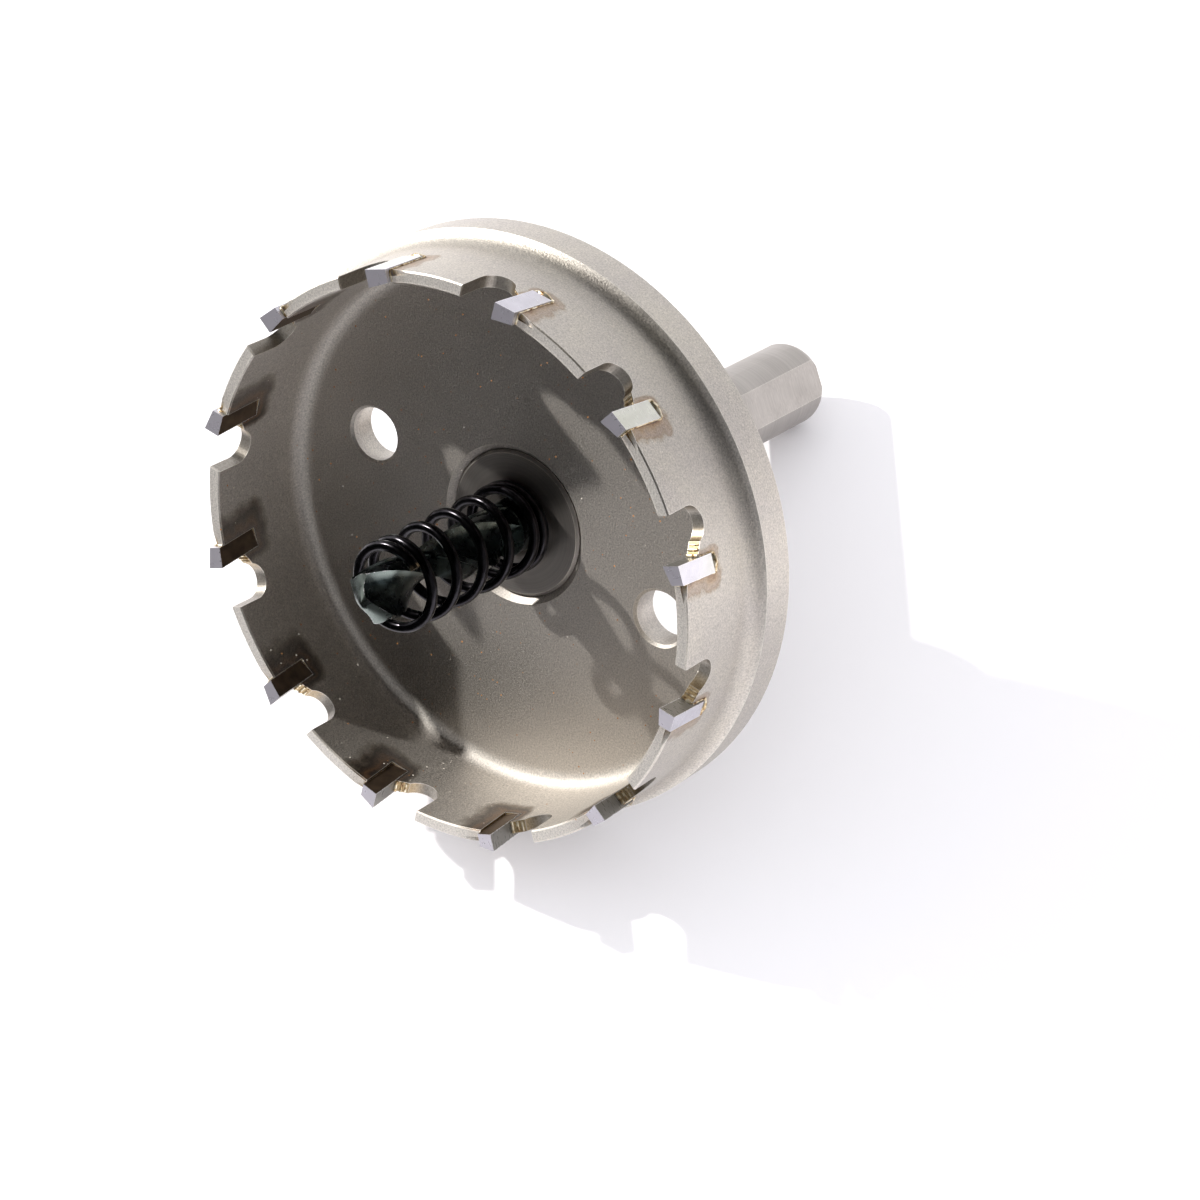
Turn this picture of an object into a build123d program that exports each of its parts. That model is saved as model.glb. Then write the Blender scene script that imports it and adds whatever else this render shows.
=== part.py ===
from build123d import *
import math
import os

# A carbide-tipped hole saw for sheet metal, in the pose in which it lies on a bench:
# tipped back on the edge of its flange and one flat of its shank.
# Each piece is drawn in the saw's own axes and then laid down by rest_pose().
# Saw axes: Z runs along the tool and points out of the cup, Z = 0 is the rim of the cup,
# and X points away from the bench. Millimetres and degrees throughout.

# Cup
cut_diameter = 64.0          # over the carbide tips
wall_set_in = 0.4            # outside of the wall to the cutting circle
wall_thickness = 1.4
rim_chamfer = 0.15
cup_depth = 13.4             # rim to inner floor
floor_thickness = 3.6
floor_fillet = 1.7
bore_chamfer = 0.8           # round the arbor's boss

# Flange that stops the saw at the sheet
flange_diameter = 66.0
flange_band = 4.6            # height of its cylindrical edge
flange_cove = 2.4            # height of the hollow curve between wall and flange
flange_chamfer = 0.4

# Carbide tips
tip_count = 12
tip_stand = 1.05             # cutting edge in front of the rim
tip_length = 6.35
tip_thickness = 2.15
tip_inner_overhang = 0.12    # inside of the tip to the inside of the wall
tip_rake = 5.0               # lean of the cutting face
tip_top_relief = 13.0
tip_side_relief = 6.0
tip_end_facet = 0.7
tip_end_facet_depth = 0.38
first_tip_angle = 53.3

# Gullet in front of each tip
gullet_width = 4.9
gullet_depth = 5.1
gullet_radius = 2.0
gullet_ledge = 2.9           # depth of the ledge under the cutting face
gullet_ledge_turn = 200.0    # where the ledge meets the round of the gullet

# Ground relief on the rim behind each tip
rim_relief_length = 2.2
rim_relief_depth = 0.45

# Slug ejection holes
slug_hole_diameter = 6.1
slug_hole_circle = 40.0
slug_hole_count = 2
slug_hole_turn = 28.0        # from the first tip
slug_hole_chamfer = 0.3

# Arbor
boss_diameter = 16.6
boss_recess = 0.3            # boss face below the inner floor
boss_chamfer = 0.3
collar_diameter = 20.0
collar_length = 14.0
collar_chamfer = 0.8
shank_diameter = 10.0
shank_length = 37.8          # collar to shank end
shank_end_bevel = 0.9        # length of the taper at the end
shank_end_bevel_depth = 0.35
shank_root_fillet = 1.0
flat_count = 3
flat_depth = 0.53
flat_length = 28.5

# Pilot drill
drill_diameter = 6.0
drill_reach = 12.7           # point in front of the rim
drill_length = 46.0
drill_point_angle = 118.0
drill_flute_length = 24.0
drill_helix_lead = 32.0
drill_web = 1.5
drill_land_turn = 62.0       # part of a circle that each land covers
drill_margin_turn = 12.0     # raised margin along each land's leading edge
drill_body_relief = 0.28     # land behind the margin, below full size
drill_heel_angle = 14.0      # back of one land at the corner of the point
drill_clearance = 0.03       # drill to its bore, each side
drill_bore_spare = 1.0       # bore runs on behind the drill

# Set screw that holds the drill
screw_diameter = 6.0
screw_length = 6.0
screw_socket = 3.0           # across flats
screw_socket_depth = 2.8
screw_chamfer = 0.5
screw_clearance = 0.05
screw_turn = 60.0
drill_flat_depth = 0.5       # seat for the screw on the drill
drill_flat_length = 8.0

# Ejector spring, wound left-handed
spring_outer_diameter = 10.3
spring_wire = 1.15
spring_reach = 8.4           # front of the spring in front of the rim
spring_open_turns = 4.0
spring_front_turns = 1.0     # closed turns at the front
spring_back_turns = 1.25     # closed turns on the boss
spring_closed_pitch = 1.3
spring_blend_turns = 0.3     # over which the pitch opens and closes
spring_end_turn = 321.0      # where the wire ends at the front
spring_seat_gap = 0.02
spring_steps = 12            # points of the wire's path in each turn

# Worked out from the sizes above
cut_radius = cut_diameter / 2
wall_outer = cut_radius - wall_set_in
wall_inner = wall_outer - wall_thickness
flange_radius = flange_diameter / 2
floor_z = -cup_depth
back_z = floor_z - floor_thickness
band_top_z = back_z + flange_band
boss_radius = boss_diameter / 2
boss_face_z = floor_z - boss_recess
collar_end_z = back_z - collar_length
shank_radius = shank_diameter / 2
shank_end_z = collar_end_z - shank_length
flat_distance = shank_radius - flat_depth
drill_radius = drill_diameter / 2
drill_tail_z = drill_reach - drill_length
screw_z = back_z - collar_length / 2
tip_step = 360 / tip_count

# Angle between the saw's axis and the bench, with the flange's edge and a flat on it
lie_angle = math.degrees(
    math.atan2(
        flange_radius - flat_distance,
        (back_z + flange_chamfer) - shank_end_z,
    )
)


def rest_pose():
    """Lean the saw's axes as they lie on the bench, with the origin still at the rim's centre."""
    lean = math.radians(lie_angle)
    forward = (math.cos(lean), 0, math.sin(lean))
    upward = (-math.sin(lean), 0, math.cos(lean))
    return Plane(origin=(0, 0, 0), x_dir=upward, z_dir=forward).location


def bench_place(solids):
    """Put the lowest point on Z = 0 and the middle of the length above the origin."""
    boxes = [solid.bounding_box() for solid in solids]
    rear = min(box.min.X for box in boxes)
    front = max(box.max.X for box in boxes)
    low = min(box.min.Z for box in boxes)
    return Pos(-(rear + front) / 2, 0, -low)


def polar(angle):
    return Rot(0, 0, angle)


def tip_angle(number):
    """Angle of a tip's cutting face. Tips are numbered clockwise, seen from the front."""
    return first_tip_angle - (number - 1) * tip_step


def tip_face(depth):
    """Point of the cutting face's line, in the tangent plane, at a depth below the edge."""
    rake = math.radians(tip_rake)
    return (-depth * math.sin(rake), tip_stand - depth * math.cos(rake))


def behind(point, distance):
    """A point behind the cutting face, square to it."""
    rake = math.radians(tip_rake)
    return (point[0] - distance * math.cos(rake), point[1] + distance * math.sin(rake))


def tangent_prism(points, inner, outer):
    """Extrude an outline drawn in the tangent plane (Y, Z) from one radius to another."""
    outline = Plane.YZ.offset(inner) * make_face(Polyline(*points, close=True))
    return extrude(outline, amount=outer - inner, dir=(1, 0, 0))


def make_tip():
    """One carbide tip at angle 0: raked face, top and side relief, and a facet at its foot."""
    edge = tip_face(0)
    foot = tip_face(tip_length)
    relief = math.radians(tip_top_relief)
    slant = tip_thickness / math.cos(relief + math.radians(tip_rake))
    heel = (edge[0] - slant * math.cos(relief), edge[1] - slant * math.sin(relief))
    inner = wall_inner - tip_inner_overhang
    side = tangent_prism([edge, foot, behind(foot, tip_thickness), heel], inner, cut_radius)

    reach = tip_thickness + tip_length * math.sin(math.radians(tip_rake)) + 1
    fall = reach * math.tan(math.radians(tip_side_relief))
    top_outline = Polyline(
        (inner, 0), (cut_radius, 0), (cut_radius - fall, -reach), (inner + fall, -reach), close=True
    )
    column = Pos(0, 0, -2 * tip_length) * extrude(make_face(top_outline), amount=4 * tip_length)
    tip = side & column

    facet_outline = Polyline(
        (cut_radius - tip_end_facet_depth, foot[1] - 1),
        (cut_radius - tip_end_facet_depth, foot[1]),
        (cut_radius + tip_end_facet_depth, foot[1] + 2 * tip_end_facet),
        (cut_radius + 2, foot[1] + 2 * tip_end_facet),
        (cut_radius + 2, foot[1] - 1),
        close=True,
    )
    facet = extrude(Plane.XZ * make_face(facet_outline), amount=4 * tip_thickness, both=True)
    return tip - facet


def make_pocket():
    """The slot in the wall that a tip is brazed into, at angle 0."""
    top = tip_face(-2 * tip_stand - 1)
    foot = tip_face(tip_length)
    outline = [top, foot, behind(foot, tip_thickness), behind(top, tip_thickness)]
    return tangent_prism(outline, wall_inner - 2, wall_outer + 1)


def make_gullet():
    """The chip gullet in front of a tip, with the sloping ledge under the cutting face."""
    centre = (gullet_width - gullet_radius, gullet_radius - gullet_depth)
    turn = math.radians(gullet_ledge_turn)
    meet = (
        centre[0] + gullet_radius * math.cos(turn),
        centre[1] + gullet_radius * math.sin(turn),
    )
    top = tip_face(-2 * tip_stand - 1)
    ledge = tip_face((tip_stand + gullet_ledge) / math.cos(math.radians(tip_rake)))
    outline = [top, ledge, meet, centre, (gullet_width, centre[1]), (gullet_width, top[1])]
    inner = wall_inner - 2
    outer = wall_outer + 1
    round_end = Plane.YZ.offset(inner) * Pos(centre[0], centre[1]) * Circle(gullet_radius)
    return tangent_prism(outline, inner, outer) + extrude(round_end, amount=outer - inner, dir=(1, 0, 0))


def make_rim_relief():
    """The slanted cut that the grinding wheel leaves on the rim behind a tip."""
    start = behind(tip_face(tip_stand), tip_thickness)
    outline = Polyline(
        (start[0] + tip_thickness / 2, 1), (start[0] + tip_thickness / 2, -rim_relief_depth),
        (start[0], -rim_relief_depth), (start[0] - rim_relief_length, 0),
        (start[0] - rim_relief_length, 1), close=True,
    )
    lean = wall_thickness / 2
    wedge = Plane.YZ.offset(wall_inner + lean) * make_face(outline)
    return extrude(wedge, amount=wall_thickness + 1, dir=(1, 0, 0))


def make_cutter_body():
    """The turned steel cup with its flange, milled gullets, tip pockets and slug holes."""
    cove_drop = flange_radius - wall_outer
    cove_radius = (flange_cove**2 + cove_drop**2) / (2 * cove_drop)
    cove_z = band_top_z + flange_cove
    half_turn = math.asin(min(1.0, flange_cove / cove_radius)) / 2
    cove_middle = (
        wall_outer + cove_radius * (1 - math.cos(half_turn)),
        cove_z - cove_radius * math.sin(half_turn),
    )
    bore = boss_radius
    corner = floor_fillet * (1 - math.sqrt(0.5))
    profile = (
        Line((wall_inner + rim_chamfer, 0), (wall_outer - rim_chamfer, 0))
        + Line((wall_outer - rim_chamfer, 0), (wall_outer, -rim_chamfer))
        + Line((wall_outer, -rim_chamfer), (wall_outer, cove_z))
        + ThreePointArc((wall_outer, cove_z), cove_middle, (flange_radius, band_top_z))
        + Line((flange_radius, band_top_z), (flange_radius, back_z + flange_chamfer))
        + Line((flange_radius, back_z + flange_chamfer), (flange_radius - flange_chamfer, back_z))
        + Line((flange_radius - flange_chamfer, back_z), (bore, back_z))
        + Line((bore, back_z), (bore, floor_z - bore_chamfer))
        + Line((bore, floor_z - bore_chamfer), (bore + bore_chamfer, floor_z))
        + Line((bore + bore_chamfer, floor_z), (wall_inner - floor_fillet, floor_z))
        + ThreePointArc(
            (wall_inner - floor_fillet, floor_z),
            (wall_inner - corner, floor_z + corner),
            (wall_inner, floor_z + floor_fillet),
        )
        + Line((wall_inner, floor_z + floor_fillet), (wall_inner, -rim_chamfer))
        + Line((wall_inner, -rim_chamfer), (wall_inner + rim_chamfer, 0))
    )
    cup = revolve(Plane.XZ * make_face(profile), Axis.Z, 360)

    cuts = [make_pocket(), make_gullet(), make_rim_relief()]
    for number in range(1, tip_count + 1):
        for cut in cuts:
            cup -= polar(tip_angle(number)) * cut

    hole_radius = slug_hole_diameter / 2
    hole = Pos(0, 0, back_z - 1) * extrude(Circle(hole_radius), amount=floor_thickness + 2)
    for face_z, way in ((floor_z, 1), (back_z, -1)):
        rim = Cone(
            hole_radius, hole_radius + 2 * slug_hole_chamfer, 2 * slug_hole_chamfer,
            align=(Align.CENTER, Align.CENTER, Align.MIN),
        )
        hole += Pos(0, 0, face_z - way * slug_hole_chamfer) * Rot(0 if way > 0 else 180, 0, 0) * rim
    for number in range(slug_hole_count):
        turn = first_tip_angle + slug_hole_turn + number * 360 / slug_hole_count
        cup -= polar(turn) * Pos(slug_hole_circle / 2, 0, 0) * hole
    return cup


def make_arbor():
    """Boss, collar and three-flat shank in one turned piece, bored for the drill."""
    bore = drill_radius + drill_clearance
    bore_end = drill_tail_z - drill_bore_spare
    root = shank_radius + shank_root_fillet
    corner = shank_root_fillet * (1 - math.sqrt(0.5))
    bevel_z = shank_end_z + shank_end_bevel
    end_radius = shank_radius - shank_end_bevel_depth
    profile = (
        Line((0, bore_end), (bore, bore_end))
        + Line((bore, bore_end), (bore, boss_face_z))
        + Line((bore, boss_face_z), (boss_radius - boss_chamfer, boss_face_z))
        + Line((boss_radius - boss_chamfer, boss_face_z), (boss_radius, boss_face_z - boss_chamfer))
        + Line((boss_radius, boss_face_z - boss_chamfer), (boss_radius, back_z))
        + Line((boss_radius, back_z), (collar_diameter / 2, back_z))
        + Line((collar_diameter / 2, back_z), (collar_diameter / 2, collar_end_z + collar_chamfer))
        + Line(
            (collar_diameter / 2, collar_end_z + collar_chamfer),
            (collar_diameter / 2 - collar_chamfer, collar_end_z),
        )
        + Line((collar_diameter / 2 - collar_chamfer, collar_end_z), (root, collar_end_z))
        + ThreePointArc(
            (root, collar_end_z),
            (shank_radius + corner, collar_end_z - corner),
            (shank_radius, collar_end_z - shank_root_fillet),
        )
        + Line((shank_radius, collar_end_z - shank_root_fillet), (shank_radius, bevel_z))
        + ThreePointArc(
            (shank_radius, bevel_z),
            (shank_radius - 0.3 * shank_end_bevel_depth, shank_end_z + shank_end_bevel / 2),
            (end_radius, shank_end_z),
        )
        + Line((end_radius, shank_end_z), (0, shank_end_z))
        + Line((0, shank_end_z), (0, bore_end))
    )
    arbor = revolve(Plane.XZ * make_face(profile), Axis.Z, 360)

    slab = Pos(flat_distance, 0, shank_end_z - 1) * Box(
        shank_radius, shank_diameter, flat_length + 1, align=(Align.MIN, Align.CENTER, Align.MIN)
    )
    for number in range(flat_count):
        arbor -= polar(180 + number * 360 / flat_count) * slab

    screw_hole = Pos(0, 0, screw_z) * Rot(0, 90, 0) * Cylinder(
        screw_diameter / 2, collar_diameter, align=(Align.CENTER, Align.CENTER, Align.MIN)
    )
    return arbor - polar(screw_turn) * screw_hole


def flute_section(turn, z):
    """The drill's cross-section: two lands, each with a raised margin, and two hollow flutes."""
    heel = -drill_land_turn / 2
    lip = drill_land_turn / 2
    step = lip - drill_margin_turn
    body = drill_radius - drill_body_relief

    def spot(radius, angle):
        return (radius * math.cos(math.radians(angle)), radius * math.sin(math.radians(angle)))

    outline = []
    for way in (0, 180):
        outline += [
            ThreePointArc(spot(body, way + heel), spot(body, way), spot(body, way + step)),
            Line(spot(body, way + step), spot(drill_radius, way + step)),
            ThreePointArc(
                spot(drill_radius, way + step),
                spot(drill_radius, way + (step + lip) / 2),
                spot(drill_radius, way + lip),
            ),
            ThreePointArc(
                spot(drill_radius, way + lip), spot(drill_web / 2, way + 90), spot(body, way + 180 + heel)
            ),
        ]
    return Pos(0, 0, z) * Rot(0, 0, turn) * make_face(outline)


def make_pilot_drill():
    """A short twist drill: fluted in front, plain behind, with a flat for the set screw."""
    flute_start = drill_reach - drill_flute_length
    point_height = drill_radius / math.tan(math.radians(drill_point_angle / 2))
    corner_z = drill_reach - point_height
    first_turn = drill_heel_angle + drill_land_turn / 2
    steps = max(4, math.ceil(drill_flute_length / drill_helix_lead * 12))
    sections = []
    for step in range(steps + 1):
        z = flute_start + step / steps * drill_flute_length
        sections.append(flute_section(first_turn + (z - corner_z) / drill_helix_lead * 360, z))
    fluted = loft(sections)
    plain = Pos(0, 0, drill_tail_z) * Cylinder(
        drill_radius, flute_start - drill_tail_z, align=(Align.CENTER, Align.CENTER, Align.MIN)
    )
    drill = fluted + plain

    envelope = revolve(
        Plane.XZ * make_face(
            Polyline(
                (0, drill_tail_z - 1), (drill_radius + 1, drill_tail_z - 1),
                (drill_radius + 1, drill_reach - point_height * (drill_radius + 1) / drill_radius),
                (0, drill_reach), close=True,
            )
        ),
        Axis.Z, 360,
    )
    drill = drill & envelope
    seat = Pos(drill_radius - drill_flat_depth, 0, screw_z) * Box(
        drill_radius, drill_diameter, drill_flat_length, align=(Align.MIN, Align.CENTER, Align.CENTER)
    )
    return drill - polar(screw_turn) * seat


def make_set_screw():
    """A short hexagon-socket grub screw, its flat point against the drill."""
    radius = screw_diameter / 2 - screw_clearance
    body = Cylinder(radius, screw_length, align=(Align.CENTER, Align.CENTER, Align.MIN))
    body = chamfer(body.edges().filter_by(GeomType.CIRCLE), screw_chamfer)
    socket = Pos(0, 0, screw_length - screw_socket_depth) * extrude(
        RegularPolygon(screw_socket / 2, 6, major_radius=False), amount=screw_socket_depth + 1
    )
    upright = body - socket
    return polar(screw_turn) * Pos(drill_radius - drill_flat_depth, 0, screw_z) * Rot(0, 90, 0) * upright


def spring_path():
    """The middle of the wire, from the boss outwards. The pitch opens and closes gradually."""
    coil_radius = (spring_outer_diameter - spring_wire) / 2
    bottom = boss_face_z + spring_wire / 2 + spring_seat_gap
    top = spring_reach - spring_wire / 2
    turns = spring_back_turns + spring_open_turns + spring_front_turns
    count = round(turns * spring_steps)

    def openness(turn):
        opens = (turn - spring_back_turns) / spring_blend_turns + 0.5
        closes = (turns - spring_front_turns - turn) / spring_blend_turns + 0.5
        return min(1, max(0, opens)) * min(1, max(0, closes))

    shares = [openness((step + 0.5) / spring_steps) for step in range(count)]
    spare = (top - bottom - spring_closed_pitch * turns) * spring_steps / sum(shares)
    points = []
    z = bottom
    for step in range(count + 1):
        angle = math.radians(spring_end_turn + (turns - step / spring_steps) * 360)
        points.append((coil_radius * math.cos(angle), coil_radius * math.sin(angle), z))
        if step < count:
            z += (spring_closed_pitch + shares[step] * spare) / spring_steps
    return Spline(*points)


def make_spring():
    """The ejector spring: open turns between closed ones, standing on the boss face."""
    path = spring_path()
    section = Plane(origin=path @ 0, z_dir=path % 0) * Circle(spring_wire / 2)
    return sweep(section, path=path, is_frenet=True)


def main():
    os.makedirs("parts", exist_ok=True)
    pieces = {
        "cutter_body": make_cutter_body(),
        "arbor": make_arbor(),
        "pilot_drill": make_pilot_drill(),
        "drill_set_screw": make_set_screw(),
        "ejector_spring": make_spring(),
    }
    tip = make_tip()
    for number in range(1, tip_count + 1):
        pieces[f"carbide_tip_{number:02d}"] = polar(tip_angle(number)) * tip
    laid = {name: rest_pose() * piece for name, piece in pieces.items()}
    place = bench_place(laid.values())
    for name, piece in laid.items():
        export_step(place * piece, f"parts/{name}.step")


main()
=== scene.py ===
import math

import bpy
from mathutils import Matrix, Vector


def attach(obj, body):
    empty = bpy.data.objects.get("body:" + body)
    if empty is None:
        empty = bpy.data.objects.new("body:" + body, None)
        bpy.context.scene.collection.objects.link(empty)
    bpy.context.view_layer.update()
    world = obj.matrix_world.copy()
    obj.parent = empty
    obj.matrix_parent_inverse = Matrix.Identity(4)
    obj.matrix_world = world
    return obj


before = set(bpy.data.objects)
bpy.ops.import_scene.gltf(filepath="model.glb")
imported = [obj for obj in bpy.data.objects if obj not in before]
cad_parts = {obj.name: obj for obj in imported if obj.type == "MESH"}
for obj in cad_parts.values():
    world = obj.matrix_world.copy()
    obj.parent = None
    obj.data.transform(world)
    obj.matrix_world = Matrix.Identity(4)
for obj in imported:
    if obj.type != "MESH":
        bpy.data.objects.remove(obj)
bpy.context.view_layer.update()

# Cup and flange
# One turned piece of steel, its gullets milled and its surface blasted with fine grit, then nickel plated.
# The blasting leaves a satin grey grain. Brazing the tips left heat tint round each pocket, and the flux
# left gold in the milled gullets, whose faces are smoother.

# The saw lies tipped back on the edge of its flange and one flat of its shank. Its own axes have
# Z along the tool, out of the cup and 0 at the rim, and X away from the bench.
MM_PER_M = 1000
LEAN = math.radians(28.6589)
RIM_CENTRE = Vector((0.023219, 0.0, 0.036918))
saw_axes = Matrix(
    (
        (-math.sin(LEAN), 0, math.cos(LEAN)),
        (0, -1, 0),
        (math.cos(LEAN), 0, math.sin(LEAN)),
    )
)
TIPS = 12
FIRST_TIP = math.radians(53.3)
TIP_STEP = math.tau / TIPS
RAKE = math.tan(math.radians(5))

# These are in millimetres on the saw's own axes. A pair is where a look begins to show and where it is full.
HALF_TIP = 1.12
WALL_FOOT = (28.0, 29.5)
CUP_INSIDE = (30.6, 30.4)
BEHIND_CUP_FLOOR = -14.5
BELOW_GULLETS = -8.0
OUTER_TINT_REACH = 1.7
INNER_TINT_REACH = 3.4

# Most values of a noise texture lie in this span.
NOISE_SPAN = (0.3, 0.7)


def linear(hex_colour):
    """An sRGB hex colour as the linear RGBA that shaders take."""
    values = [int(hex_colour[at : at + 2], 16) / 255 for at in (0, 2, 4)]
    return tuple(v / 12.92 if v <= 0.04045 else ((v + 0.055) / 1.055) ** 2.4 for v in values) + (1.0,)


def add(tree, kind, *inputs, stops=(), **named):
    """Adds a node and returns its one output, or the node itself where it has several or none.

    Inputs go to the sockets in use in their order, or by name with _ for a space. Other names are settings.
    """
    made = tree.nodes.new(kind)
    for name in [name for name in named if hasattr(made, name)]:
        setattr(made, name, named.pop(name))
    given = list(zip([socket for socket in made.inputs if socket.enabled], inputs))
    given += [(made.inputs[name.replace("_", " ")], value) for name, value in named.items()]
    for socket, value in given:
        if isinstance(value, bpy.types.NodeSocket):
            tree.links.new(value, socket)
        else:
            socket.default_value = value
    for number, (position, colour) in enumerate(stops):
        marks = made.color_ramp.elements
        mark = marks[number] if number < len(marks) else marks.new(1.0)
        mark.position, mark.color = position, linear(colour)
    results = [socket for socket in made.outputs if socket.enabled]
    return results[0] if len(results) == 1 else made


# This group tells a material where each point lies on the saw, in millimetres, and which way it faces.
places = bpy.data.node_groups.new("places on the saw", "ShaderNodeTree")
for name, kind in (
    ("Place", "NodeSocketVector"),
    ("Radius", "NodeSocketFloat"),
    ("Height", "NodeSocketFloat"),
    ("Past Tip", "NodeSocketFloat"),
    ("Facing Out", "NodeSocketFloat"),
    ("Facing Front", "NodeSocketFloat"),
    ("Facing Round", "NodeSocketFloat"),
    ("Edge", "NodeSocketFloat"),
):
    places.interface.new_socket(name, in_out="OUTPUT", socket_type=kind)
seat = add(places, "ShaderNodeTexCoord").outputs["Object"]
turned = saw_axes.to_euler()
one_mm = (1 / MM_PER_M,) * 3
saw_mm = add(places, "ShaderNodeMapping", seat, RIM_CENTRE, turned, one_mm, vector_type="TEXTURE")
flat = add(places, "ShaderNodeVectorMath", saw_mm, (1, 1, 0), operation="MULTIPLY")
radius = add(places, "ShaderNodeVectorMath", flat, operation="LENGTH")
outwards = add(places, "ShaderNodeVectorMath", flat, operation="NORMALIZE")
sideways = add(places, "ShaderNodeVectorMath", (0, 0, 1), outwards, operation="CROSS_PRODUCT")
parts = add(places, "ShaderNodeSeparateXYZ", saw_mm)
angle = add(places, "ShaderNodeMath", parts.outputs[1], parts.outputs[0], operation="ARCTAN2")
angle = add(places, "ShaderNodeMath", angle, FIRST_TIP, operation="SUBTRACT")
angle = add(places, "ShaderNodeMath", angle, TIP_STEP / 2, -TIP_STEP / 2, operation="WRAP")
past_tip = add(places, "ShaderNodeMath", angle, radius, operation="MULTIPLY")
surface = add(places, "ShaderNodeNewGeometry").outputs["Normal"]
facing = add(places, "ShaderNodeMapping", surface, (0, 0, 0), turned, vector_type="TEXTURE")
out = add(places, "ShaderNodeVectorMath", facing, outwards, operation="DOT_PRODUCT")
front = add(places, "ShaderNodeSeparateXYZ", facing).outputs[2]
sweep = add(places, "ShaderNodeVectorMath", facing, sideways, operation="DOT_PRODUCT")
# The Edge mask covers 0.14 mm from an edge's corner. The finishes paint it pale, as wear and chips and, on
# the cup and arbor, as a painted highlight.
rounded = add(places, "ShaderNodeBevel", 0.00014, samples=6)
same = add(places, "ShaderNodeVectorMath", rounded, surface, operation="DOT_PRODUCT")
edge = add(places, "ShaderNodeMapRange", same, 0.997, 0.94, 0.0, 1.0)
add(places, "NodeGroupOutput", saw_mm, radius, parts.outputs[2], past_tip, out, front, sweep, edge)


def blank(name):
    """A new finish with an empty tree."""
    finish = bpy.data.materials.new(name)
    finish.use_nodes = True
    finish.node_tree.nodes.clear()
    return finish


def begin(name):
    """A new finish, its tree, and in it the group that tells where each point lies on the saw."""
    finish = blank(name)
    return finish, finish.node_tree, add(finish.node_tree, "ShaderNodeGroup", node_tree=places)


cup_steel, tree, saw = begin("blasted_nickel_steel")
place, height, past_tip = (saw.outputs[name] for name in ("Place", "Height", "Past Tip"))
# The grain is 0.2 mm across, about twice the real one, so that it shows in the picture.
grain = add(tree, "ShaderNodeTexNoise", place, 5.0, 3.0, 0.7).outputs["Fac"]
# The plating varies in clouds about 8 mm across.
drift = add(tree, "ShaderNodeTexNoise", place, 0.12, 3.0, 0.6).outputs["Fac"]
drift = add(tree, "ShaderNodeMapRange", drift, *NOISE_SPAN, 0.0, 1.0)
plating = add(tree, "ShaderNodeMix", drift, linear("c3bdb7"), linear("cbc5bb"), data_type="RGBA")

# Heat tint follows the distance in mm from the pocket, which is 2.3 mm wide, 5.2 mm deep and raked.
# It fades 2.2 times as fast in front of the tip, 0.75 times behind it and 1.2 times below its foot.
middle = add(tree, "ShaderNodeMath", height, -RAKE, HALF_TIP, operation="MULTIPLY_ADD")
beside = add(tree, "ShaderNodeMath", past_tip, middle, operation="ADD")
in_front = add(tree, "ShaderNodeMath", beside, 2.2, -2.46, operation="MULTIPLY_ADD")
behind = add(tree, "ShaderNodeMath", beside, -0.75, -0.86, operation="MULTIPLY_ADD")
beside = add(tree, "ShaderNodeMath", in_front, behind, operation="MAXIMUM")
beside = add(tree, "ShaderNodeMath", beside, 0.0, operation="MAXIMUM")
below = add(tree, "ShaderNodeMath", height, -1.2, -6.3, operation="MULTIPLY_ADD")
below = add(tree, "ShaderNodeMath", below, 0.0, operation="MAXIMUM")
reach = add(tree, "ShaderNodeCombineXYZ", beside, below, 0.0)
reach = add(tree, "ShaderNodeVectorMath", reach, operation="LENGTH")
# Its outline wanders by up to 0.45 mm, in waves about 1.4 mm long.
ragged = add(tree, "ShaderNodeTexNoise", place, 0.7, 3.0, 0.5).outputs["Fac"]
wander = add(tree, "ShaderNodeMapRange", ragged, *NOISE_SPAN, -0.25, 0.45)
reach = add(tree, "ShaderNodeMath", reach, wander, operation="ADD")
outer = add(tree, "ShaderNodeMath", reach, OUTER_TINT_REACH, operation="DIVIDE")
outer = add(
    tree, "ShaderNodeValToRGB", outer,
    stops=(
        (0.0, "7a5638"), (0.07, "b58659"), (0.2, "d4b48f"), (0.42, "dcc7b4"), (0.6, "d8c6b9"),
        (0.7, "c8b49f"), (0.8, "ebe3d9"), (0.95, "ffffff"),
    ),
).outputs["Color"]
inner = add(tree, "ShaderNodeMath", reach, INNER_TINT_REACH, operation="DIVIDE")
inner = add(
    tree, "ShaderNodeValToRGB", inner,
    stops=(
        (0.0, "352a22"), (0.08, "6b4e39"), (0.18, "93704e"), (0.3, "6f5a49"), (0.42, "584c42"),
        (0.6, "aba298"), (0.85, "ffffff"),
    ),
).outputs["Color"]
inside = add(tree, "ShaderNodeMapRange", saw.outputs["Facing Out"], 0.1, -0.1, 0.0, 1.0)
tint = add(tree, "ShaderNodeMix", inside, outer, inner, data_type="RGBA")
# It is stronger round some tips than round others.
uneven = add(tree, "ShaderNodeTexNoise", place, 0.06, 1.0, 0.5).outputs["Fac"]
uneven = add(tree, "ShaderNodeMapRange", uneven, 0.35, 0.65, 0.55, 1.0)
on_wall = add(tree, "ShaderNodeMapRange", saw.outputs["Radius"], *WALL_FOOT, 0.0, 1.0)
uneven = add(tree, "ShaderNodeMath", uneven, on_wall, operation="MULTIPLY")
# The rim was faced after brazing, so it carries little of the tint. It is painted paler and less metallic,
# partly for its ground finish and partly as painted light where the lamp falls on the rim.
faced_and_lit_rim = add(tree, "ShaderNodeMapRange", saw.outputs["Facing Front"], 0.7, 0.95, 0.0, 1.0)
faced_and_lit_rim = add(tree, "ShaderNodeMath", faced_and_lit_rim, on_wall, operation="MULTIPLY")
tint_kept_off_rim = add(tree, "ShaderNodeMapRange", faced_and_lit_rim, 0.0, 1.0, 1.0, 0.25)
uneven = add(tree, "ShaderNodeMath", uneven, tint_kept_off_rim, operation="MULTIPLY")
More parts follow.
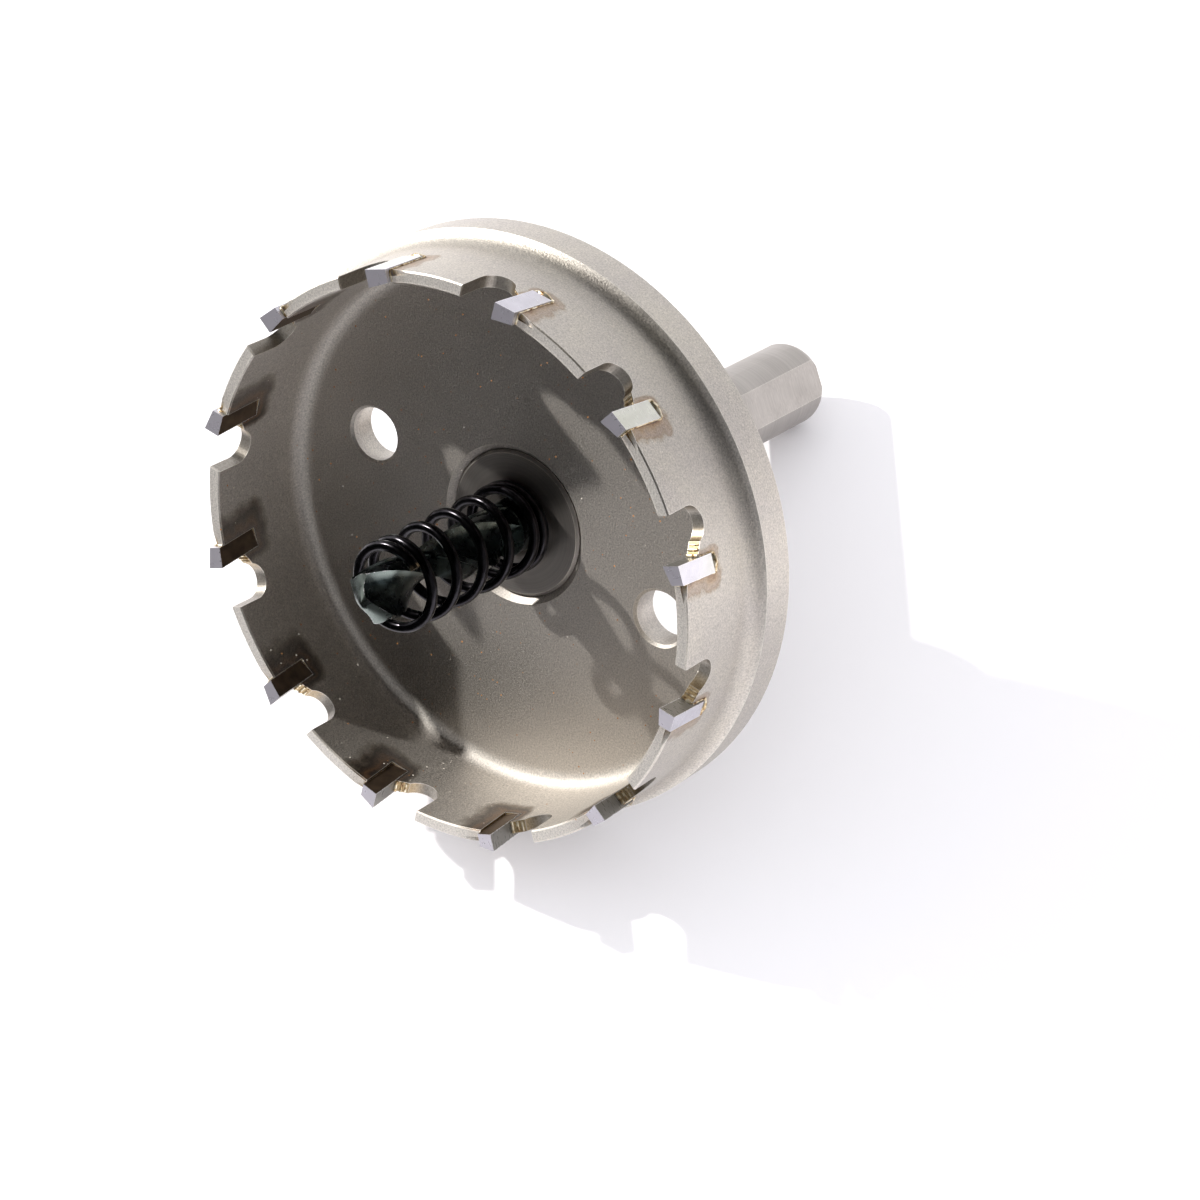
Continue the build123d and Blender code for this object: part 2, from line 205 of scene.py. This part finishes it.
# Inside the cup the blasting is coarser, and the steel is painted a little paler as painted light that
# brightens the hollow of the cup.
in_cup = add(tree, "ShaderNodeMapRange", saw.outputs["Radius"], *CUP_INSIDE, 0.0, 1.0)
before_floor = add(tree, "ShaderNodeMath", height, BEHIND_CUP_FLOOR, operation="GREATER_THAN")
in_cup = add(tree, "ShaderNodeMath", in_cup, before_floor, operation="MULTIPLY")
plating = add(tree, "ShaderNodeMix", in_cup, plating, linear("d2cdc7"), data_type="RGBA")
# The rim is painted paler here, partly as painted light.
plating = add(tree, "ShaderNodeMix", faced_and_lit_rim, plating, linear("e2ddd6"), data_type="RGBA")
plating = add(tree, "ShaderNodeMix", uneven, plating, tint, data_type="RGBA", blend_type="MULTIPLY")

# Milled faces of the gullets look neither in nor out. Flux left gold next to the tip.
milled = add(tree, "ShaderNodeMath", saw.outputs["Facing Out"], operation="ABSOLUTE")
milled = add(tree, "ShaderNodeMapRange", milled, 0.35, 0.15, 0.0, 1.0)
below_rim = add(tree, "ShaderNodeMapRange", height, -0.2, -0.4, 0.0, 1.0)
in_gullet = add(tree, "ShaderNodeMath", height, BELOW_GULLETS, operation="GREATER_THAN")
for limit in (below_rim, in_gullet, on_wall):
    milled = add(tree, "ShaderNodeMath", milled, limit, operation="MULTIPLY")
gilt = add(tree, "ShaderNodeMapRange", past_tip, 2.4, 0.6, 0.0, 1.0)
cut_face = add(tree, "ShaderNodeMix", gilt, linear("9f9991"), linear("b39d78"), data_type="RGBA")
plating = add(tree, "ShaderNodeMix", milled, plating, cut_face, data_type="RGBA")
speckle = add(tree, "ShaderNodeMapRange", grain, *NOISE_SPAN, 0.7, 1.28)
plating = add(tree, "ShaderNodeMix", 1.0, plating, speckle, data_type="RGBA", blend_type="MULTIPLY")
# Edges are painted pale, partly as wear and partly as a painted highlight where a rounded edge would catch
# the light.
plating = add(tree, "ShaderNodeMix", saw.outputs["Edge"], plating, linear("ebe6de"), data_type="RGBA")

# Spatter and dust lie in the cup as bright and rusty specks 0.1 to 0.2 mm across. They aren't metal bright.
# The specks are dealt out to cells about 0.7 mm wide, of which some stay empty.
cells = add(tree, "ShaderNodeTexVoronoi", place, 1.5)
chance = add(tree, "ShaderNodeSeparateColor", cells.outputs["Color"])
size = add(tree, "ShaderNodeMapRange", chance.outputs[1], 0.0, 1.0, 0.06, 0.17)
speck = add(tree, "ShaderNodeMath", cells.outputs["Distance"], size, operation="LESS_THAN")
chosen = add(tree, "ShaderNodeMath", chance.outputs[0], 0.72, operation="GREATER_THAN")
for limit in (chosen, in_cup):
    speck = add(tree, "ShaderNodeMath", speck, limit, operation="MULTIPLY")
rusty = add(tree, "ShaderNodeMath", chance.outputs[2], 0.7, operation="GREATER_THAN")
dust = add(tree, "ShaderNodeMix", rusty, linear("e8e0d2"), linear("b98450"), data_type="RGBA")
plating = add(tree, "ShaderNodeMix", speck, plating, dust, data_type="RGBA")
duller = add(tree, "ShaderNodeMath", faced_and_lit_rim, 0.3, operation="MULTIPLY")
duller = add(tree, "ShaderNodeMath", duller, speck, operation="MAXIMUM")
metal = add(tree, "ShaderNodeMath", 1.0, duller, operation="SUBTRACT")

rough = add(tree, "ShaderNodeMapRange", grain, *NOISE_SPAN, 0.38, 0.5)
coarser = add(tree, "ShaderNodeMapRange", in_cup, 0.0, 1.0, 1.0, 1.35)
rough = add(tree, "ShaderNodeMath", rough, coarser, operation="MULTIPLY")
rough = add(tree, "ShaderNodeMix", milled, rough, 0.4)
# Chatter marks of the milling cutter, 0.4 mm apart, run through the wall.
profile = add(tree, "ShaderNodeCombineXYZ", past_tip, 0.0, height)
chatter = add(
    tree, "ShaderNodeTexWave", profile, 1.57, 1.5, 1.0, wave_type="BANDS", bands_direction="DIAGONAL"
).outputs["Fac"]
chatter = add(tree, "ShaderNodeMath", chatter, 0.06, operation="MULTIPLY")
relief = add(tree, "ShaderNodeMix", milled, grain, chatter)
bump = add(tree, "ShaderNodeBump", Strength=0.8, Distance=0.00006, Height=relief)
shade = add(
    tree, "ShaderNodeBsdfPrincipled", Base_Color=plating, Metallic=metal, Roughness=rough, Normal=bump
)
add(tree, "ShaderNodeOutputMaterial", shade)
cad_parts["cutter_body"].material_slots[0].material = cup_steel

# Carbide tips
# Twelve blocks of sintered tungsten carbide, brazed in and ground sharp with a diamond wheel.
# Grinding leaves a smooth lilac-grey surface with fine lines and small bright chips on the edges.
# The cutting faces and the reliefs are duller, and the inner sides kept the brown of the brazing.
carbide, tree, saw = begin("ground_tungsten_carbide")
place = saw.outputs["Place"]
# The lines lie about 0.17 mm apart along the tool, coarser than a diamond wheel's, so that they show.
lines = add(tree, "ShaderNodeMapping", place, (0, 0, 0), (0, 0, 0), (1, 1, 6))
lines = add(tree, "ShaderNodeTexNoise", lines, 1.0, 2.0, 0.5).outputs["Fac"]
patch = add(tree, "ShaderNodeTexNoise", place, 0.8, 3.0).outputs["Fac"]
# Clouds 14 mm across, wider than a tip, make some tips lilac and others cream.
each = add(tree, "ShaderNodeTexNoise", place, 0.07, 1.0).outputs["Fac"]
each = add(tree, "ShaderNodeMapRange", each, 0.42, 0.58, 0.0, 1.0)
ground = add(tree, "ShaderNodeMix", each, linear("cfccd4"), linear("d5d5c7"), data_type="RGBA")
faint = add(tree, "ShaderNodeMapRange", patch, 0.35, 0.65, 0.95, 1.04)
ground = add(tree, "ShaderNodeMix", 1.0, ground, faint, data_type="RGBA", blend_type="MULTIPLY")
inner = add(tree, "ShaderNodeMapRange", saw.outputs["Facing Out"], -0.4, -0.8, 0.0, 1.0)
stain = add(tree, "ShaderNodeMix", patch, linear("3a3029"), linear("7d6a57"), data_type="RGBA")
ground = add(tree, "ShaderNodeMix", inner, ground, stain, data_type="RGBA")
face = add(tree, "ShaderNodeMapRange", saw.outputs["Facing Round"], 0.6, 0.9, 0.0, 1.0)
ground = add(tree, "ShaderNodeMix", face, ground, linear("807d77"), data_type="RGBA")
# The chips on the edges are about 0.3 mm long.
nick = add(tree, "ShaderNodeTexNoise", place, 3.5, 2.0).outputs["Fac"]
nick = add(tree, "ShaderNodeMapRange", nick, 0.42, 0.55, 0.3, 1.0)
nick = add(tree, "ShaderNodeMath", nick, saw.outputs["Edge"], operation="MULTIPLY")
ground = add(tree, "ShaderNodeMix", nick, ground, linear("f2f0f2"), data_type="RGBA")
top = add(tree, "ShaderNodeMapRange", saw.outputs["Facing Front"], 0.5, 0.8, 0.0, 1.0)
ground = add(tree, "ShaderNodeMix", top, ground, linear("a9a6ae"), data_type="RGBA")
dull = add(tree, "ShaderNodeMath", top, face, operation="MAXIMUM")
metal = add(tree, "ShaderNodeMapRange", dull, 0.0, 1.0, 0.9, 0.6)
rough = add(tree, "ShaderNodeMapRange", lines, *NOISE_SPAN, 0.26, 0.34)
rough = add(tree, "ShaderNodeMix", inner, rough, 0.5)
bump = add(tree, "ShaderNodeBump", Strength=0.06, Distance=0.00002, Height=lines)
shade = add(
    tree, "ShaderNodeBsdfPrincipled", Base_Color=ground, Metallic=metal, Roughness=rough, Normal=bump
)
add(tree, "ShaderNodeOutputMaterial", shade)
for number in range(1, TIPS + 1):
    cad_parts[f"carbide_tip_{number:02d}"].material_slots[0].material = carbide

# Braze seams
# Silver braze that flowed round each tip and set as a thin golden fillet in the corner of its pocket.
# It is widest at the tip's foot, and lies in three gold steps on the ledge under the cutting face.
# Each point has its radius, its distance past the cutting face, its height and the bead's half-width, in mm.
OUTER_WALL = 31.63
seam_runs = (
    (
        (OUTER_WALL, -0.36, -3.0, 0.08), (OUTER_WALL, -0.52, -4.9, 0.1), (OUTER_WALL, -0.66, -5.42, 0.2),
        (31.7, -1.6, -5.38, 0.38), (OUTER_WALL, -2.72, -5.28, 0.22), (OUTER_WALL, -2.62, -4.6, 0.08),
        (OUTER_WALL, -2.28, -0.1, 0.09), (31.3, -2.3, 0.02, 0.15), (30.4, -2.3, 0.02, 0.12),
    ),
    ((31.55, -0.2, -2.96, 0.2), (30.25, -0.2, -2.96, 0.18)),
    ((31.5, 0.3, -3.28, 0.16), (30.3, 0.3, -3.28, 0.14)),
    ((31.45, 0.72, -3.56, 0.1), (30.4, 0.72, -3.56, 0.1)),
)
corners, half_widths, lines = [], [], []
for run in seam_runs:
    start = len(corners)
    for r, y, z, half_width in run:
        corners.append((math.sqrt(r * r - y * y) / MM_PER_M, y / MM_PER_M, z / MM_PER_M))
        half_widths.append(half_width / MM_PER_M)
    lines += [(n, n + 1) for n in range(start, len(corners) - 1)]
seam_mesh = bpy.data.meshes.new("braze_seams")
seam_mesh.from_pydata(corners, lines, [])
bead = seam_mesh.attributes.new("bead", "FLOAT", "POINT")
bead.data.foreach_set("value", half_widths)


def put(name, data):
    """A new object of that name in the scene."""
    made = bpy.data.objects.new(name, data)
    bpy.context.collection.objects.link(made)
    return made


seams = put("braze_seams", seam_mesh)

braze, tree, saw = begin("silver_braze")
cloud = add(tree, "ShaderNodeTexNoise", saw.outputs["Place"], 1.8, 3.0).outputs["Fac"]
gold = add(
    tree, "ShaderNodeValToRGB", cloud, stops=((0.34, "7d6145"), (0.44, "cdb48a"), (0.56, "f4ead2"))
).outputs["Color"]
shade = add(tree, "ShaderNodeBsdfPrincipled", Base_Color=gold, Metallic=0.9, Roughness=0.3)
add(tree, "ShaderNodeOutputMaterial", shade)

# The group sweeps a round bead along the lines, copies it to every tip and makes it lumpy.
ring = bpy.data.node_groups.new("seam round every tip", "GeometryNodeTree")
ring.interface.new_socket("Geometry", in_out="INPUT", socket_type="NodeSocketGeometry")
for name, kind in (
    ("Unevenness", "NodeSocketFloat"),
    ("Tips", "NodeSocketInt"),
    ("First Tip", "NodeSocketFloat"),
    ("Seed", "NodeSocketInt"),
    ("Finish", "NodeSocketMaterial"),
):
    ring.interface.new_socket(name, in_out="INPUT", socket_type=kind)
ring.interface.new_socket("Geometry", in_out="OUTPUT", socket_type="NodeSocketGeometry")
given = add(ring, "NodeGroupInput").outputs
line = add(ring, "GeometryNodeMeshToCurve", given["Geometry"])
line = add(ring, "GeometryNodeResampleCurve", Curve=line, Length=0.0002, mode="LENGTH")
width = add(ring, "GeometryNodeInputNamedAttribute", "bead").outputs["Attribute"]
section = add(ring, "GeometryNodeCurvePrimitiveCircle", Resolution=8, Radius=1.0)
tube = add(ring, "GeometryNodeCurveToMesh", line, section, width, True)
spots = add(ring, "GeometryNodePoints", given["Tips"])
index = add(ring, "GeometryNodeInputIndex")
step = add(ring, "ShaderNodeMath", math.tau, given["Tips"], operation="DIVIDE")
bend = add(ring, "ShaderNodeMath", index, step, given["First Tip"], operation="MULTIPLY_ADD")
bend = add(ring, "ShaderNodeCombineXYZ", 0.0, 0.0, bend)
bend = add(ring, "FunctionNodeEulerToRotation", bend)
copies = add(ring, "GeometryNodeInstanceOnPoints", Points=spots, Instance=tube, Rotation=bend)
solid = add(ring, "GeometryNodeRealizeInstances", copies)
# The lumps are about 0.5 mm long.
lumps = add(ring, "ShaderNodeTexNoise", W=given["Seed"], Scale=1900.0, Detail=2.0, noise_dimensions="4D")
lumps = add(ring, "ShaderNodeMapRange", lumps.outputs["Fac"], *NOISE_SPAN, -1.0, 1.0)
lumps = add(ring, "ShaderNodeMath", lumps, given["Unevenness"], operation="MULTIPLY")
normal = add(ring, "GeometryNodeInputNormal").outputs[0]
shift = add(ring, "ShaderNodeVectorMath", normal, operation="SCALE", Scale=lumps)
solid = add(ring, "GeometryNodeSetPosition", Geometry=solid, Offset=shift)
solid = add(ring, "GeometryNodeSetShadeSmooth", solid)
solid = add(ring, "GeometryNodeSetMaterial", Geometry=solid, Material=given["Finish"])
add(ring, "NodeGroupOutput", solid)

modifier = seams.modifiers.new("grow", "NODES")
modifier.node_group = ring
seam_inputs = {"Unevenness": 0.00006, "Tips": TIPS, "First Tip": FIRST_TIP, "Seed": 4, "Finish": braze}
for socket in ring.interface.items_tree:
    if socket.name in seam_inputs:
        modifier[socket.identifier] = seam_inputs[socket.name]
grown = bpy.data.meshes.new_from_object(seams.evaluated_get(bpy.context.evaluated_depsgraph_get()))
seams.modifiers.remove(modifier)
seams.data = grown
grown.transform(Matrix.Translation(RIM_CENTRE) @ saw_axes.to_4x4())
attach(seams, "root")

# Arbor
# Boss, collar and shank turned from one bar and pressed into the cup, its shank ground with three flats.
# The turning tool left fine rings on the boss, which draw the light out into sectors.
arbor_steel, tree, saw = begin("turned_steel")
height, radius = saw.outputs["Height"], saw.outputs["Radius"]
# The rings are about 0.2 mm apart, coarser than the real ones, so that they show.
rings = add(tree, "ShaderNodeCombineXYZ", radius, 0.0, height)
rings = add(tree, "ShaderNodeTexNoise", rings, 4.5, 3.0, 0.7).outputs["Fac"]
cloud = add(tree, "ShaderNodeTexNoise", saw.outputs["Place"], 0.25, 3.0).outputs["Fac"]
tone = add(tree, "ShaderNodeMapRange", rings, *NOISE_SPAN, 0.0, 1.0)
tone = add(tree, "ShaderNodeMix", tone, linear("a6a19d"), linear("b9b4af"), data_type="RGBA")
# Edges are painted pale, partly as wear and partly as a painted highlight where a rounded edge would catch
# the light.
tone = add(tree, "ShaderNodeMix", saw.outputs["Edge"], tone, linear("e6e2da"), data_type="RGBA")
rough = add(tree, "ShaderNodeMapRange", cloud, *NOISE_SPAN, 0.4, 0.5)
bump = add(tree, "ShaderNodeBump", Strength=0.2, Distance=0.00003, Height=rings)
shade = add(
    tree, "ShaderNodeBsdfPrincipled", Base_Color=tone, Metallic=1.0, Roughness=rough, Normal=bump
)
add(tree, "ShaderNodeOutputMaterial", shade)
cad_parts["arbor"].material_slots[0].material = arbor_steel

# Pilot drill and its set screw
# A short high-speed steel twist drill under black oxide, which looks dark green.
# Its point is ground after the oxide, so the facets are paler, and use has chipped its lips bright.
oxide, tree, saw = begin("black_oxide_steel")
place = saw.outputs["Place"]
cloud = add(tree, "ShaderNodeTexNoise", place, 0.9, 4.0).outputs["Fac"]
dark = add(tree, "ShaderNodeMapRange", cloud, *NOISE_SPAN, 0.0, 1.0)
dark = add(tree, "ShaderNodeMix", dark, linear("262d2e"), linear("3a4343"), data_type="RGBA")
at_point = add(tree, "ShaderNodeMapRange", saw.outputs["Facing Front"], 0.3, 0.42, 0.0, 1.0)
dark = add(tree, "ShaderNodeMix", at_point, dark, linear("7a837f"), data_type="RGBA")
# The chips are about 0.5 mm long and lie more than 8.5 mm in front of the rim.
chip = add(tree, "ShaderNodeTexNoise", place, 2.2, 2.0).outputs["Fac"]
chip = add(tree, "ShaderNodeMapRange", chip, 0.5, 0.56, 0.0, 1.0)
near_point = add(tree, "ShaderNodeMapRange", saw.outputs["Height"], 8.5, 10.5, 0.0, 1.0)
for limit in (near_point, saw.outputs["Edge"]):
    chip = add(tree, "ShaderNodeMath", chip, limit, operation="MULTIPLY")
dark = add(tree, "ShaderNodeMix", chip, dark, linear("f2f0f4"), data_type="RGBA")
rough = add(tree, "ShaderNodeMapRange", cloud, *NOISE_SPAN, 0.22, 0.34)
shade = add(tree, "ShaderNodeBsdfPrincipled", Base_Color=dark, Metallic=1.0, Roughness=rough)
add(tree, "ShaderNodeOutputMaterial", shade)
for name in ("pilot_drill", "drill_set_screw"):
    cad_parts[name].material_slots[0].material = oxide

# Ejector spring
# Hard-drawn spring wire, coiled cold and blackened to a gloss, cut off bright at its front end.
# The cut end lies at this place on the saw's own axes, in mm.
WIRE_END = (3.556, -2.879, 7.825)
spring_black, tree, saw = begin("gloss_black_spring_wire")
cloud = add(tree, "ShaderNodeTexNoise", saw.outputs["Place"], 1.5, 4.0).outputs["Fac"]
black = add(tree, "ShaderNodeMapRange", cloud, *NOISE_SPAN, 0.0, 1.0)
black = add(tree, "ShaderNodeMix", black, linear("2b2a2d"), linear("39373b"), data_type="RGBA")
cut = add(tree, "ShaderNodeVectorMath", saw.outputs["Place"], WIRE_END, operation="DISTANCE")
cut = add(tree, "ShaderNodeMapRange", cut, 0.75, 0.6, 0.0, 1.0)
black = add(tree, "ShaderNodeMix", cut, black, linear("c9b491"), data_type="RGBA")
rough = add(tree, "ShaderNodeMapRange", cloud, *NOISE_SPAN, 0.16, 0.26)
shade = add(tree, "ShaderNodeBsdfPrincipled", Base_Color=black, Metallic=1.0, Roughness=rough)
add(tree, "ShaderNodeOutputMaterial", shade)
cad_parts["ejector_spring"].material_slots[0].material = spring_black


# Floor
# A plain white sheet that takes the saw's shadow.
def matte(name, hex_colour, roughness=0.0):
    """A plain finish that scatters light evenly."""
    finish = blank(name)
    shade = add(finish.node_tree, "ShaderNodeBsdfDiffuse", linear(hex_colour), roughness)
    add(finish.node_tree, "ShaderNodeOutputMaterial", shade)
    return finish


bpy.ops.mesh.primitive_plane_add(size=8)
floor = bpy.context.object
floor.name = "floor"
floor.data.materials.append(matte("white_paper", "fbfafd", 0.5))

# Light
# White light from all round, and a small hard lamp high on the left of the picture, placed by the shadow.
# A dark cloth in front of the saw's mouth, a dim wall beside it and a dark ceiling are seen only by what
# mirrors them.
WORLD_COLOUR = (0.985, 0.985, 1.0, 1)
WORLD_STRENGTH = 1.12
LAMP_PLACE = Vector((0.0851, -0.5373, 0.4705))
LAMP_AIM = Vector((0, 0, 0.03))
world = bpy.data.worlds.new("studio")
bpy.context.scene.world = world
world.use_nodes = True
background = world.node_tree.nodes["Background"].inputs
background["Color"].default_value = WORLD_COLOUR
background["Strength"].default_value = WORLD_STRENGTH
lamp = bpy.data.lights.new("key", "AREA")
lamp.shape = "DISK"
lamp.size = 0.02
lamp.energy = 5.0
lamp.color = (1.0, 0.97, 0.92)
key = put("key", lamp)
key.location = LAMP_PLACE
key.rotation_euler = (LAMP_AIM - key.location).to_track_quat("-Z", "Y").to_euler()

# Each screen has its name, its colour, its azimuths in degrees, and the distance and height in metres of the
# arcs that it is stretched over.
for name, colour, turns, rows in (
    ("dark_front", "2c2c2c", range(-75, 31, 5), ((0.09, 0.0005), (1.0, 0.0005), (1.0, 1.0))),
    ("dim_side", "747474", range(30, 151, 5), ((1.0, 0.0005), (1.0, 1.0))),
    ("dark_ceiling", "0a0a0a", range(0, 361, 15), ((0.02, 1.0), (1.3, 1.0))),
):
    bends = [math.radians(turn) for turn in turns]
    corners = [(far * math.cos(turn), far * math.sin(turn), high) for far, high in rows for turn in bends]
    wide = len(bends)
    faces = [
        (n, n + 1, n + 1 + wide, n + wide)
        for start in range(0, (len(rows) - 1) * wide, wide)
        for n in range(start, start + wide - 1)
    ]
    drape = bpy.data.meshes.new(name)
    drape.from_pydata(corners, [], faces)
    drape.materials.append(matte(name, colour))
    screen = put(name, drape)
    screen.visible_camera = screen.visible_diffuse = screen.visible_shadow = False

# Camera
# It looks down into the saw's mouth from 47 degrees to its +Y side, with no shift.
CAMERA_PLACE = (0.164781, 0.174723, 0.303917)
CAMERA_LOOK = (-0.4264, -0.45775, -0.78016)
CAMERA_UP = (-0.70196, -0.3765, 0.60457)
camera = bpy.data.cameras.new("camera")
camera.lens = 100.035
camera.sensor_width = 36
viewer = put("camera", camera)
look = Vector(CAMERA_LOOK).normalized()
right = look.cross(Vector(CAMERA_UP)).normalized()
up = right.cross(look)
stand = Matrix.Translation(CAMERA_PLACE)
viewer.matrix_world = stand @ Matrix((right, up, -look)).transposed().to_4x4()
bpy.context.scene.camera = viewer
bpy.context.scene.view_settings.view_transform = "Standard"
